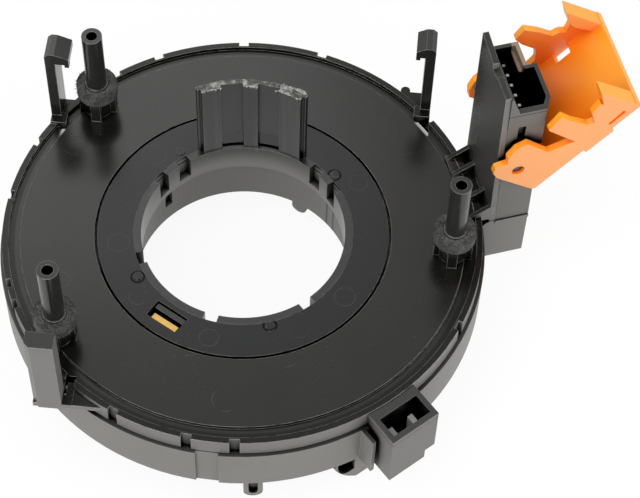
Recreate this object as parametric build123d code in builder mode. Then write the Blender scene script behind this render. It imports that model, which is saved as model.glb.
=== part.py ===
from build123d import *

import os
from math import cos, radians, sin

# Steering clock spring, in millimetres. The origin is on the bore's axis, level with the drum's
# wheel-side face. +Z points along the column and +X out through the connector tower.

# Bore and sleeve
bore_radius = 22.6
sleeve_wall = 1.7
sleeve_low = 9.8
seat_clearance = 0.05

# Drum
case_radius = 54.0
case_wall = 1.5
case_height = 12.5
case_floor = 1.6
case_edge = 0.4

# Cover plate and its segmented rim
cover_top = 17.0
cover_thickness = 1.6
rim_step = 0.8
rim_inset = 0.8
rim_wall = 1.4
rim_ledge = 2.5
rim_lift = 0.1
seam_gap = 0.2
skirt_gap = 0.3
skirt_wall = 1.3
skirt_depth = 4.2
rim_gap_width = 2.2
rim_gap_depth = 1.0
rim_gap_angles = (22, 55.7, 76, 98.1, 110.2, 138.5, 155.4, 181, 187, 225, 243.1, 254.2, 318)

# Turning ring inside the cover
running_gap = 0.6
ring_radius = 32.3
ring_thickness = 1.8
drum_wall = 1.3

# Turning disc on the wheel side
disc_inset = 10.6
disc_gap = 0.3
disc_overlap = 1.8
flange_thickness = 1.1
boss_depth = 3.3
boss_wall = 3.2
boss_relief = 0.35
boss_rib_count = 12
boss_rib_reach = 3.0
boss_rib_thickness = 1.2
boss_rib_lift = 2.5
boss_lug_angle = 44.5
boss_lug_width = 3.8
boss_lug_drop = 2.2
inner_wall = 1.2
inner_wall_gap = 0.4
inner_slot_angles = (120.8, 146.0)
inner_slot_width = 2.1
inner_slot_low = 1.4
inner_slot_high = 8.0

# Pattern of posts, ears, hooks and collar, turned from the tower
mount_turn = -20.0
post_insets_and_angles = ((6.2, 140.1), (7.5, -1.1), (6.2, 220.0))
post_radius = 2.3
post_root_radius = 2.6
post_root_lift = 0.2
post_height = 25.7
post_bore_radius = 1.25
post_bore_depth = 16.0
boss_width = 8.4
boss_web = 2.2
boss_core = 3.1
boss_height = 6.0
washer_radius = 4.6
washer_thickness = 3.0
washer_clearance = 0.15

# Snap hooks, which lean over a bracket from both sides
hook_foot = 2.1
hook_foot_height = 0.8
hook_foot_extra = 1.4
hook_under = 36.4
hook_top = 39.6
hook_depth = 5.9
hook_slope_drop = 1.3
hook_round = 0.9
barb_width = 1.0
barb_depth = 1.6
barb_drop = 0.8
left_hook_inset = 7.0
left_hook_y = 26.8
left_hook_width = 2.25
left_head_width = 5.4
right_hook_inset = 14.7
right_hook_rise = 16.8
right_hook_width = 2.3
right_head_width = 4.4
recess_width_by_hook = 3.4
recess_length_by_hook = 4.2
recess_depth_by_hook = 2.2

# Ears and corner pillar
ear_thickness = 1.4
left_ear_width = 9.5
left_ear_depth = 8.0
right_ear_width = 13.4
right_ear_depth = 9.6
ear_tab_width = 2.2
ear_tab_inset = 6.0
ear_tab_reach = 1.5
pillar_inset_x = 14.6
pillar_inset_y = 6.9
pillar_width = 6.1
pillar_depth = 3.8
pillar_height = 39.0
pillar_foot = 14.3
pillar_bevel = 1.1
pillar_ear_width = 14.5
pillar_ear_depth = 13.2
ear_slot_width = 2.1
ear_slot_length = 7.0

# Cancelling collar on the sleeve
collar_centre = 90.8
collar_span = 56.0
collar_wall = 2.3
collar_setback = 0.3
collar_top = 39.5
collar_fin_span = 59.6
collar_fin_thickness = 0.9
collar_groove_depth = 1.2
collar_groove_span = 12.6
collar_groove_angles = (102.0, 81.7)
collar_window_height = 4.5

# Notches through the sleeve, counted from the tower
notch_angles = (15.6, 30.6, 112.0, 128.2, 183.3, 238.7, 292.2)
notch_width = 3.1
notch_height = 5.7

# Window in the ring, with the ribbon's inner end under it
window_angle = 219.7
window_radius = 27.6
window_length = 8.0
window_width = 4.2
block_depth = 9.0
block_clearance = 0.3
bar_width = 1.3
terminal_thickness = 0.5
terminal_width = 1.6
terminal_drop = 1.0
stud_angles = (22.1, 109.4, 193.5, 269.3)
stud_radius = 1.0
stud_place = 25.9
stud_height = 0.35

# Connector tower
tower_offset = 0.45
tower_wall = 1.3
tower_pad = 5.1
tower_front = -9.3
tower_back = 8.6
tower_lean = 1.3
tower_tip = 59.8
tower_tip_fall = 2.2
tower_seam = 14.4
tower_notch_y = -2.2
tower_notch_width = 3.0
tower_notch_depth = 1.6
gusset_places = (7.9, 3.4, -3.9, -8.8)
gusset_thickness = 1.0
gusset_reach = 4.8
gusset_rise = 3.0
stem_reach = 9.25
base_corner = 3.4
base_wall = 1.0
base_lip_height = 0.9
base_lip_reach = 0.35

# Socket at the tower's head, with its sizes across counted from the tower wall
socket_left_reach = 3.65
socket_right_reach = 11.35
socket_step_reach = 9.15
socket_foot = 40.0
socket_rim = 52.0
socket_shoulder = 57.3
socket_front = -8.4
socket_back = 10.4
socket_step_y = 3.9
socket_ledge_level = 50.0
socket_ledge_width = 0.8
socket_bevel_x = 1.6
socket_bevel_y = 2.9
socket_wall = 0.9
socket_front_wall = 1.4
socket_floor = 43.0
keyhole_reach = 4.65
keyhole_z = 45.2
keyhole_width = 1.7
keyhole_height = 4.0
keyhole_depth = 0.8

# Contact pins of the tower
pin_count = 5
pin_pitch = 2.75
pin_size = 0.64
pin_reach = 5.25
pin_first_y = -3.8
pin_tip = 48.8
pin_foot = 4.2
pin_clearance = 0.08
lead_block_height = 6.4
lead_block_reach = 2.55

# Lock lever, drawn in its locked pose: out is away from the socket, up is along the tower
pivot_reach = 4.05
pivot_z = 35.2
pivot_radius = 1.35
pivot_clearance = 0.08
lever_open_angle = 42.2
lever_front = -11.1
lever_back = 14.9
arm_thickness = 1.6
plate_out = 9.2
plate_thickness = 1.5
arm_low = -2.9
plate_low = 0.6
plate_high = 28.4
finger_low = 13.0
finger_tip = 17.6
lip_in = -3.0
lip_fall = 1.3
lip_thickness = 3.6
lip_under = 25.4
slot_low = 14.4
slot_high = 18.7
slot_width = 2.5
proud_low = 11.6
proud_length = 8.0
proud_reach = 1.1
arm_clearance = 0.3
stud_recess = 0.8
back_boss_radius = 2.6

# Two-pin connector on the drum's side
two_pin_angle = -67.8
two_pin_width = 12.2
two_pin_reach = 7.5
two_pin_top = 16.8
two_pin_wall_in = 1.3
two_pin_wall_out = 1.3
two_pin_socket_width = 9.8
two_pin_floor = 5.0
two_pin_step = 2.6
two_pin_step_height = 3.0
blade_width = 2.9
blade_thickness = 1.2
blade_spacing = 5.4
blade_top = 12.0
blade_tail = 3.0
blade_reach = 6.5
bay_gap = 0.1

# Marks of the drum's side
recess_angle = -112.1
recess_width = 4.9
recess_depth = 0.7
peg_angle = -101.7
peg_width = 4.2
peg_thickness = 2.6
peg_drop = 6.2
peg_rim = 1.1
lug_left = -14.0
lug_right = -1.0
lug_drop = 10.8
lug_corner = -7.4
lug_thickness = 3.4
lug_recess = 2.2
lug_rib = -8.1
rib_offset = 7.6
rib_thickness = 0.9
rib_reach = 2.6

# Ribbon and slip sheets
ribbon_turns = 3
ribbon_thickness = 0.3
ribbon_margin = 0.5
sheet_thickness = 0.2

# Wheel-side sockets
wheel_socket_inset = 6.4
wheel_socket_depth = 11.5
wheel_socket_width = 8.6
wheel_socket_length = 20.0
squib_socket_length = 11.0
wheel_wall = 1.1
wheel_floor = 1.4
wheel_pin_pitch = 3.4
wheel_pin_count = 5
squib_pin_count = 2
wheel_pin_tip = 8.5
drive_peg_radius = 2.5
drive_peg_depth = 11.5

# Sizes that follow
case_inner = case_radius - case_wall
rim_radius = case_radius - rim_inset
cover_hole_radius = ring_radius + running_gap
plate_under = cover_top - cover_thickness
step_level = cover_top - rim_step
rim_inner = rim_radius - rim_wall
plate_radius = rim_inner - rim_ledge
rim_under = case_height + seam_gap
rim_level = cover_top + rim_lift
skirt_outer = case_inner - skirt_gap
skirt_inner = skirt_outer - skirt_wall
skirt_low = case_height - skirt_depth
sleeve_outer = bore_radius + sleeve_wall
sleeve_seat = sleeve_outer + seat_clearance
boss_bore = sleeve_seat + boss_relief
flange_low = case_floor + disc_gap
chamber_floor = flange_low + flange_thickness
disc_radius = case_radius - disc_inset
wheel_socket_place = disc_radius - wheel_socket_inset
case_hole_radius = disc_radius + disc_gap
flange_radius = case_hole_radius + disc_overlap
ring_under = cover_top - ring_thickness
collar_inner = bore_radius + collar_setback
collar_outer = bore_radius + collar_wall
washer_level = cover_top + boss_height
post_top = cover_top + post_height
post_places = [(case_radius - inset, angle) for inset, angle in post_insets_and_angles]
left_hook_x = left_hook_inset - case_radius
right_hook_x = case_radius - right_hook_inset
right_hook_y = case_radius - right_hook_rise
pillar_x = pillar_inset_x - case_radius
pillar_y = pillar_inset_y - case_radius
tower_x = case_radius + tower_offset
stem_right = tower_x + stem_reach
socket_left = tower_x + socket_left_reach
socket_right = tower_x + socket_right_reach
socket_step_x = tower_x + socket_step_reach
keyhole_x = tower_x + keyhole_reach
pin_x = tower_x + pin_reach
pivot_x = tower_x + pivot_reach
lead_block_right = tower_x + lead_block_reach
two_pin_out = case_radius + two_pin_reach
two_pin_socket_in = case_radius + two_pin_wall_in
two_pin_socket_out = two_pin_out - two_pin_wall_out
tower_depth = tower_back - tower_front
ear_low = step_level - ear_thickness
housing_x = tower_x + tower_wall + seat_clearance
base_left = (case_radius ** 2 - tower_front ** 2) ** 0.5 - case_wall / 2

# Parts of the model share these planes
body_frame = Plane.XY


def turned(angle):
    """The plane square to the bore, turned by this angle."""
    return Plane(origin=(0, 0, 0), x_dir=(cos(radians(angle)), sin(radians(angle)), 0), z_dir=(0, 0, 1))


def facing_x(frame, x):
    """An upright plane at this X of a frame. Its own X runs along the frame's Y, its own Y up."""
    return Plane(origin=frame.from_local_coords((x, 0, 0)), x_dir=frame.y_dir, z_dir=frame.x_dir)


def facing_y(frame, y):
    """An upright plane at this Y of a frame. Its own X runs along the frame's X, its own Y up."""
    return Plane(origin=frame.from_local_coords((0, y, 0)), x_dir=frame.x_dir, z_dir=-frame.y_dir)


mount_frame = turned(mount_turn)
two_pin_frame = turned(two_pin_angle)
window_frame = turned(window_angle)

# Outer case: drum wall, wheel-side ring and the lower box of the tower, one moulding
with BuildPart() as outer_case:
    with BuildSketch(Plane.XZ):
        with BuildLine():
            Polyline(
                (case_hole_radius, 0),
                (case_radius - case_edge, 0),
                (case_radius, case_edge),
                (case_radius, case_height),
                (case_inner, case_height),
                (case_inner, case_floor),
                (case_hole_radius, case_floor),
                close=True,
            )
        make_face()
    revolve(axis=Axis.Z)
    with BuildSketch(facing_y(body_frame, tower_front)):
        with BuildLine():
            base_low = Polyline(
                (base_left, tower_seam - base_corner),
                (base_left, 0),
                (stem_right, 0),
                (stem_right, tower_seam),
                (base_left + base_corner, tower_seam),
            )
            RadiusArc(base_low @ 1, base_low @ 0, -base_corner)
        make_face()
    extrude(amount=-tower_depth)
    with BuildSketch(body_frame.offset(case_floor)):
        with Locations(((stem_right - base_wall + skirt_inner) / 2, (tower_front + tower_back) / 2)):
            Rectangle(stem_right - base_wall - skirt_inner, tower_depth - 2 * base_wall)
    extrude(amount=tower_seam, mode=Mode.SUBTRACT)
    with BuildSketch(body_frame.offset(tower_seam)):
        with Locations((base_left + base_corner, tower_front - base_lip_reach)):
            Rectangle(
                stem_right - base_left - base_corner,
                base_lip_reach + base_wall,
                align=(Align.MIN, Align.MIN),
            )
    extrude(amount=-base_lip_height)
    # The wall is set in along a strip, as it is at the mould's gate
    with BuildSketch(turned(recess_angle)):
        with Locations((case_radius, 0)):
            Rectangle(2 * recess_depth, recess_width)
    extrude(amount=case_height, mode=Mode.SUBTRACT)
    # Bay for the two-pin connector, with a rib beside it
    with BuildSketch(two_pin_frame):
        with Locations(((case_radius + rib_reach / 2), -rib_offset)):
            Rectangle(rib_reach + case_wall, rib_thickness)
    extrude(amount=case_height)
    with BuildSketch(two_pin_frame):
        with Locations((case_radius, 0)):
            Rectangle(4 * case_wall, two_pin_width + 2 * bay_gap)
    extrude(amount=case_height, mode=Mode.SUBTRACT)
    # Rounded locating peg with a hollow outer face
    with BuildSketch(facing_x(turned(peg_angle), case_radius - case_edge)):
        SlotOverall(2 * peg_drop, peg_width, rotation=90)
        with Locations((0, peg_drop)):
            Rectangle(peg_width, 2 * peg_drop, mode=Mode.SUBTRACT)
    extrude(amount=-peg_thickness)
    with BuildSketch(facing_x(turned(peg_angle), case_radius - case_edge)):
        SlotOverall(2 * (peg_drop - peg_rim), peg_width - 2 * peg_rim, rotation=90)
        with Locations((0, peg_drop)):
            Rectangle(peg_width, 2 * peg_drop, mode=Mode.SUBTRACT)
    extrude(amount=-peg_thickness / 2, mode=Mode.SUBTRACT)
    # Lug under the two-pin connector, hollow on its free side
    with BuildSketch(facing_x(two_pin_frame, skirt_outer)):
        with BuildLine():
            Line((lug_left, 0), (lug_right, 0))
            Line((lug_right, 0), (lug_right, -lug_drop))
            Line((lug_right, -lug_drop), (lug_corner, -lug_drop))
            Spline((lug_corner, -lug_drop), (lug_rib - 1.5, 0.8 - lug_drop * 0.85), (lug_left, 0))
        make_face()
    extrude(amount=-lug_thickness)
    with BuildSketch(facing_x(two_pin_frame, skirt_outer)):
        with BuildLine():
            Line((lug_left + peg_rim, 0), (lug_rib, 0))
            Line((lug_rib, 0), (lug_rib, -lug_drop * 0.6))
            Spline(
                (lug_rib, -lug_drop * 0.6),
                (lug_rib - 1.3, -lug_drop * 0.6),
                (lug_left + peg_rim, 0),
            )
        make_face()
    extrude(amount=-lug_recess, mode=Mode.SUBTRACT)

# Back cover: plate, rim, ears, hooks, posts, pillar and tower wall, one moulding
with BuildPart() as back_cover:
    with BuildSketch(Plane.XZ):
        with BuildLine():
            Polyline(
                (cover_hole_radius, plate_under),
                (skirt_inner, plate_under),
                (skirt_inner, skirt_low),
                (skirt_outer, skirt_low),
                (skirt_outer, rim_under),
                (rim_radius, rim_under),
                (rim_radius, rim_level),
                (rim_inner, rim_level),
                (rim_inner, step_level),
                (plate_radius, step_level),
                (plate_radius, cover_top),
                (cover_hole_radius, cover_top),
                close=True,
            )
        make_face()
    revolve(axis=Axis.Z)
    for angle in rim_gap_angles:
        with BuildSketch(turned(angle).offset(skirt_low)):
            with Locations((rim_radius, 0)):
                Rectangle(2 * rim_gap_depth, rim_gap_width)
        extrude(amount=cover_top, mode=Mode.SUBTRACT)
    # The skirt leaves room for the two-pin connector's foot
    with BuildSketch(two_pin_frame.offset(skirt_low)):
        with Locations((skirt_outer, 0)):
            Rectangle(3 * skirt_wall, two_pin_width + 2 * bay_gap)
    extrude(amount=rim_under - skirt_low, mode=Mode.SUBTRACT)
    # Ears that carry the hooks and the pillar
    with BuildSketch(mount_frame.offset(ear_low)):
        with Locations((left_hook_x, left_hook_y + hook_depth)):
            Rectangle(left_ear_width, left_ear_depth, align=(Align.MIN, Align.MAX))
        with Locations((right_hook_x, right_hook_y + hook_depth)):
            Rectangle(right_ear_width, right_ear_depth, align=(Align.MAX, Align.MAX))
        with Locations((right_hook_x - ear_tab_inset, right_hook_y + hook_depth)):
            SlotOverall(2 * ear_tab_reach, ear_tab_width, rotation=90)
        with Locations((pillar_x, pillar_y)):
            Rectangle(pillar_ear_width, pillar_ear_depth, align=(Align.MIN, Align.MIN))
        Circle(skirt_inner, mode=Mode.SUBTRACT)
    extrude(amount=ear_thickness)
    with BuildSketch(mount_frame.offset(ear_low)):
        with Locations((pillar_x + pillar_width, pillar_y)):
            Rectangle(ear_slot_width, ear_slot_length, align=(Align.MIN, Align.MIN))
    extrude(amount=cover_top, mode=Mode.SUBTRACT)
    # Recesses of the ledge before the two hooks
    with BuildSketch(mount_frame.offset(step_level - recess_depth_by_hook)):
        with Locations((left_hook_x + left_hook_width, left_hook_y - hook_foot)):
            Rectangle(recess_width_by_hook, recess_length_by_hook, align=(Align.MIN, Align.MAX))
        with Locations((right_hook_x, right_hook_y - hook_foot)):
            Rectangle(recess_width_by_hook, recess_length_by_hook, align=(Align.MAX, Align.MAX))
        Circle(plate_radius, mode=Mode.SUBTRACT)
    extrude(amount=cover_top, mode=Mode.SUBTRACT)
    # Snap hooks: a flat arm on a raised foot, with a head that leans inwards and slopes at its tip
    for hook_x, hook_y, inward, arm_width, head_width in (
        (left_hook_x, left_hook_y, 1, left_hook_width, left_head_width),
        (right_hook_x, right_hook_y, -1, right_hook_width, right_head_width),
    ):
        foot_width = arm_width + hook_foot_extra
        with BuildSketch(mount_frame.offset(plate_under)):
            with Locations((hook_x + inward * foot_width / 2, hook_y - hook_foot)):
                Rectangle(foot_width, hook_foot + hook_round, align=(Align.CENTER, Align.MIN))
        extrude(amount=cover_thickness + hook_foot_height)
        with BuildSketch(mount_frame.offset(ear_low)):
            with Locations((hook_x + inward * arm_width / 2, hook_y)):
                Rectangle(arm_width, hook_depth, align=(Align.CENTER, Align.MIN))
        extrude(amount=hook_under - ear_low)
        with BuildSketch(mount_frame.offset(hook_under)):
            with Locations((hook_x + inward * head_width / 2, hook_y + hook_depth / 2)):
                Rectangle(head_width, hook_depth)
        extrude(amount=hook_top - hook_under)
        # The barb hangs at the front of the head's tip
        with BuildSketch(mount_frame.offset(hook_under)):
            with Locations((hook_x + inward * (head_width - barb_width / 2), hook_y)):
                Rectangle(barb_width, barb_depth, align=(Align.CENTER, Align.MIN))
        extrude(amount=-barb_drop)
        with BuildSketch(facing_y(mount_frame, hook_y)):
            with BuildLine():
                Polyline(
                    (hook_x + inward * arm_width, hook_top),
                    (hook_x + inward * head_width, hook_top - hook_slope_drop),
                    (hook_x + inward * head_width, hook_top),
                    close=True,
                )
            make_face()
        extrude(amount=-hook_depth, mode=Mode.SUBTRACT)
        with BuildSketch(facing_y(mount_frame, hook_y)):
            with BuildLine():
                Polyline(
                    (hook_x, hook_top - hook_round),
                    (hook_x + inward * hook_round, hook_top),
                    (hook_x, hook_top),
                    close=True,
                )
            make_face()
        extrude(amount=-hook_depth, mode=Mode.SUBTRACT)
    # Corner pillar
    with BuildSketch(mount_frame.offset(pillar_foot)):
        with BuildLine():
            Polyline(
                (pillar_x, pillar_y + pillar_bevel),
                (pillar_x + pillar_bevel, pillar_y),
                (pillar_x + pillar_width, pillar_y),
                (pillar_x + pillar_width, pillar_y + pillar_depth),
                (pillar_x, pillar_y + pillar_depth),
                close=True,
            )
        make_face()
    extrude(amount=pillar_height - pillar_foot)
    # Posts on cross-ribbed bosses
    for place_radius, place_angle in post_places:
        with BuildSketch(mount_frame.offset(step_level - rim_step / 2)):
            with PolarLocations(place_radius, 1, place_angle, rotate=False):
                Rectangle(boss_width, boss_web)
                Rectangle(boss_web, boss_width)
                Circle(boss_core)
        extrude(amount=washer_level - step_level + rim_step / 2)
        with BuildSketch(mount_frame.offset(washer_level)):
            with PolarLocations(place_radius, 1, place_angle):
                Circle(post_root_radius)
        extrude(amount=washer_thickness + post_root_lift)
        with BuildSketch(mount_frame.offset(washer_level)):
            with PolarLocations(place_radius, 1, place_angle):
                Circle(post_radius)
        extrude(amount=post_height - boss_height)
        with BuildSketch(mount_frame.offset(post_top - post_bore_depth)):
            with PolarLocations(place_radius, 1, place_angle):
                Circle(post_bore_radius)
        extrude(amount=post_bore_depth, mode=Mode.SUBTRACT)
    # Tower wall on its pad
    with BuildSketch(body_frame.offset(plate_under)):
        with Locations((tower_x + tower_wall, (tower_front + tower_back) / 2)):
            Rectangle(tower_pad + tower_wall, tower_depth, align=(Align.MAX, Align.CENTER))
    extrude(amount=cover_thickness)
    with BuildSketch(facing_x(body_frame, tower_x)):
        with BuildLine():
            Polyline(
                (tower_front, tower_seam + seam_gap),
                (tower_back, tower_seam + seam_gap),
                (tower_back, tower_tip),
                (tower_notch_y + tower_notch_width, tower_tip - tower_tip_fall / 2),
                (tower_notch_y + tower_notch_width, tower_tip - tower_tip_fall / 2 - tower_notch_depth),
                (tower_notch_y, tower_tip - tower_tip_fall / 2 - tower_notch_depth),
                (tower_notch_y, tower_tip - tower_tip_fall / 2 - tower_notch_depth / 2),
                (tower_front + tower_lean, tower_tip - tower_tip_fall),
                close=True,
            )
        make_face()
    extrude(amount=tower_wall)
    for place_y in gusset_places:
        with BuildSketch(facing_y(body_frame, place_y + gusset_thickness / 2)):
            with BuildLine():
                Polyline(
                    (tower_x - gusset_reach, cover_top - rim_step),
                    (tower_x + tower_wall / 2, cover_top - rim_step),
                    (tower_x + tower_wall / 2, cover_top + gusset_rise),
                    (tower_x, cover_top + gusset_rise),
                    (tower_x - gusset_reach, cover_top),
                    close=True,
                )
            make_face()
        extrude(amount=gusset_thickness)

# Fibre washers pushed over the posts
washers = []
for place_radius, place_angle in post_places:
    with BuildPart() as washer:
        with BuildSketch(mount_frame.offset(washer_level)):
            with PolarLocations(place_radius, 1, place_angle):
                Circle(washer_radius)
                Circle(post_root_radius + washer_clearance, mode=Mode.SUBTRACT)
        extrude(amount=washer_thickness)
    washers.append(washer)

# Connector housing: stem and socket of the tower, with the lever's pivot studs
with BuildPart() as connector_housing:
    with BuildSketch(facing_x(body_frame, housing_x)):
        with BuildLine():
            Polyline(
                (tower_front, tower_seam + seam_gap),
                (tower_back, tower_seam + seam_gap),
                (tower_back, socket_foot),
                (tower_front + tower_lean / 2, socket_foot),
                close=True,
            )
        make_face()
    extrude(amount=stem_right - housing_x)
    with BuildSketch(body_frame.offset(socket_foot)):
        with BuildLine():
            Polyline(
                (housing_x, socket_front),
                (socket_right - socket_bevel_x, socket_front),
                (socket_right, socket_front + socket_bevel_y),
                (socket_right, socket_step_y),
                (socket_step_x, socket_step_y),
                (socket_step_x, socket_back),
                (housing_x, socket_back),
                close=True,
            )
        make_face()
    extrude(amount=socket_rim - socket_foot)
    # The wall beside the tower climbs from the rim to the shoulder
    with BuildSketch(facing_y(body_frame, socket_front)):
        with BuildLine():
            Polyline(
                (housing_x, socket_rim),
                (socket_left, socket_rim),
                (housing_x + 0.4, socket_shoulder),
                (housing_x, socket_shoulder),
                close=True,
            )
        make_face()
    extrude(amount=socket_front - tower_back)
    with BuildSketch(body_frame.offset(socket_floor)):
        with BuildLine():
            Polyline(
                (socket_left, socket_front + socket_front_wall),
                (socket_right - socket_bevel_x - socket_wall / 2, socket_front + socket_front_wall),
                (socket_right - socket_wall, socket_front + socket_bevel_y + socket_wall / 2),
                (socket_right - socket_wall, socket_step_y - socket_wall),
                (socket_step_x - socket_wall, socket_step_y - socket_wall),
                (socket_step_x - socket_wall, socket_back - socket_wall),
                (socket_left, socket_back - socket_wall),
                close=True,
            )
        make_face()
    extrude(amount=socket_rim - socket_floor, mode=Mode.SUBTRACT)
    with BuildSketch(body_frame.offset(socket_floor)):
        with Locations((socket_step_x - socket_wall, socket_step_y)):
            Rectangle(
                socket_ledge_width,
                socket_back - socket_wall - socket_step_y,
                align=(Align.MAX, Align.MIN),
            )
    extrude(amount=socket_ledge_level - socket_floor)
    with BuildSketch(facing_y(body_frame, socket_front)):
        with Locations((keyhole_x, keyhole_z)):
            Rectangle(keyhole_width, keyhole_height)
    extrude(amount=-keyhole_depth, mode=Mode.SUBTRACT)
    # Pivot studs, the back one on a boss that reaches to its arm
    with BuildSketch(facing_y(body_frame, tower_front + tower_lean)):
        with Locations((pivot_x, pivot_z)):
            Circle(pivot_radius)
    extrude(amount=tower_front + tower_lean - lever_front - stud_recess)
    with BuildSketch(facing_y(body_frame, tower_back)):
        with Locations((pivot_x, pivot_z)):
            Circle(back_boss_radius)
    extrude(amount=tower_back - lever_back + arm_thickness + arm_clearance)
    with BuildSketch(facing_y(body_frame, tower_back)):
        with Locations((pivot_x, pivot_z)):
            Circle(pivot_radius)
    extrude(amount=tower_back - lever_back + stud_recess)
    # Passages for the pins
    for step in range(pin_count):
        with BuildSketch(body_frame):
            with Locations((pin_x, pin_first_y + step * pin_pitch)):
                Rectangle(pin_size + 2 * pin_clearance, pin_size + 2 * pin_clearance)
        extrude(amount=socket_rim, mode=Mode.SUBTRACT)

# Five pins, each bent inwards at its foot
with BuildPart() as main_pins:
    for step in range(pin_count):
        pin_y = pin_first_y + step * pin_pitch
        with BuildSketch(body_frame.offset(pin_foot)):
            with Locations((pin_x, pin_y)):
                Rectangle(pin_size, pin_size)
        extrude(amount=pin_tip - pin_foot)
        with BuildSketch(body_frame.offset(pin_foot)):
            with Locations(((pin_x + lead_block_right) / 2, pin_y)):
                Rectangle(pin_x - lead_block_right, pin_size)
        extrude(amount=pin_size)

# Block in the case that joins the ribbon's outer end to the leads
with BuildPart() as outer_lead_block:
    with BuildSketch(body_frame.offset(case_floor)):
        with Locations(((skirt_inner + lead_block_right) / 2, (tower_front + tower_back) / 2)):
            Rectangle(lead_block_right - skirt_inner, tower_depth - 2 * base_wall - 2 * block_clearance)
        Circle(skirt_inner, mode=Mode.SUBTRACT)
    extrude(amount=lead_block_height)

# Lock lever, an orange moulding: two arms joined by a plate, with a cam slot in each arm
lever_tilt = radians(lever_open_angle)
lever_frame = Plane(
    origin=(pivot_x, 0, pivot_z),
    x_dir=(cos(lever_tilt), 0, -sin(lever_tilt)),
    z_dir=(0, -1, 0),
)
with BuildPart() as lock_lever:
    # Front arm, with a finger and a hooked foot
    with BuildSketch(lever_frame.offset(-lever_front)):
        with BuildLine():
            Polyline(
                (plate_out, arm_low),
                (plate_out, finger_tip + 2.6),
                (7.0, finger_tip + 3.2),
                (6.7, lip_under),
                (-0.2, lip_under - 0.8),
                (0.6, 21.4),
                (3.6, 19.6),
                (2.9, finger_tip + 0.7),
                (-1.8, finger_tip),
                (-5.2, finger_tip),
                (-4.3, finger_low),
                (4.6, finger_low),
                (1.6, 7.6),
                (-5.1, 7.6),
                (-6.1, 5.0),
                (-5.5, 1.9),
                (-3.9, 0.4),
                (-5.5, -1.9),
                (-4.6, -3.4),
                (-2.5, -4.1),
                (plate_out - 1.0, arm_low - 0.6),
                close=True,
            )
        make_face()
        Circle(pivot_radius + pivot_clearance, mode=Mode.SUBTRACT)
    extrude(amount=-arm_thickness)
    # Back arm, with a longer finger and a plain foot
    with BuildSketch(lever_frame.offset(-lever_back + arm_thickness)):
        with BuildLine():
            Polyline(
                (plate_out, arm_low),
                (plate_out, lip_under),
                (2.6, lip_under - 0.8),
                (4.4, 21.3),
                (3.0, 20.5),
                (2.4, 18.9),
                (-1.5, finger_tip + 0.8),
                (-5.3, finger_tip - 0.3),
                (-4.7, finger_low + 1.0),
                (-2.0, finger_low + 0.6),
                (2.3, finger_low + 1.0),
                (5.1, 11.4),
                (5.6, 7.5),
                (0.6, 5.8),
                (-2.6, 2.2),
                (-2.6, -0.6),
                (-1.6, -3.2),
                (0.3, -5.0),
                (2.6, -4.9),
                (plate_out - 1.0, arm_low - 0.6),
                close=True,
            )
        make_face()
        Circle(pivot_radius + pivot_clearance, mode=Mode.SUBTRACT)
    extrude(amount=-arm_thickness)
    # Plate across the arms, with a proud pad at the front arm
    with BuildSketch(lever_frame.offset(-lever_front)):
        with Locations((plate_out - plate_thickness, plate_low)):
            Rectangle(plate_thickness, plate_high - plate_low, align=(Align.MIN, Align.MIN))
    extrude(amount=lever_front - lever_back)
    with BuildSketch(lever_frame.offset(-lever_front)):
        with Locations((plate_out - plate_thickness, proud_low)):
            Rectangle(plate_thickness + proud_reach, proud_length, align=(Align.MIN, Align.MIN))
    extrude(amount=-arm_thickness)
    # End lips that close over the mating plug
    for lip_face in (-lever_front, -lever_back + lip_thickness):
        with BuildSketch(lever_frame.offset(lip_face)):
            with BuildLine():
                Polyline(
                    (plate_out, lip_under),
                    (plate_out, plate_high),
                    (lip_in, plate_high - lip_fall),
                    (0.4, lip_under - 0.6),
                    (2.6, lip_under - 0.9),
                    (6.7, lip_under),
                    close=True,
                )
            make_face()
        extrude(amount=-lip_thickness)
    # Slot in the plate beside the back arm
    slot_face = Plane(
        origin=lever_frame.from_local_coords((plate_out, 0, 0)),
        x_dir=(0, 1, 0),
        z_dir=lever_frame.x_dir,
    )
    with BuildSketch(slot_face):
        with Locations((lever_back - arm_thickness, (slot_low + slot_high) / 2)):
            Rectangle(slot_width, slot_high - slot_low, align=(Align.MAX, Align.CENTER))
    extrude(amount=-plate_thickness, mode=Mode.SUBTRACT)

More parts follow.
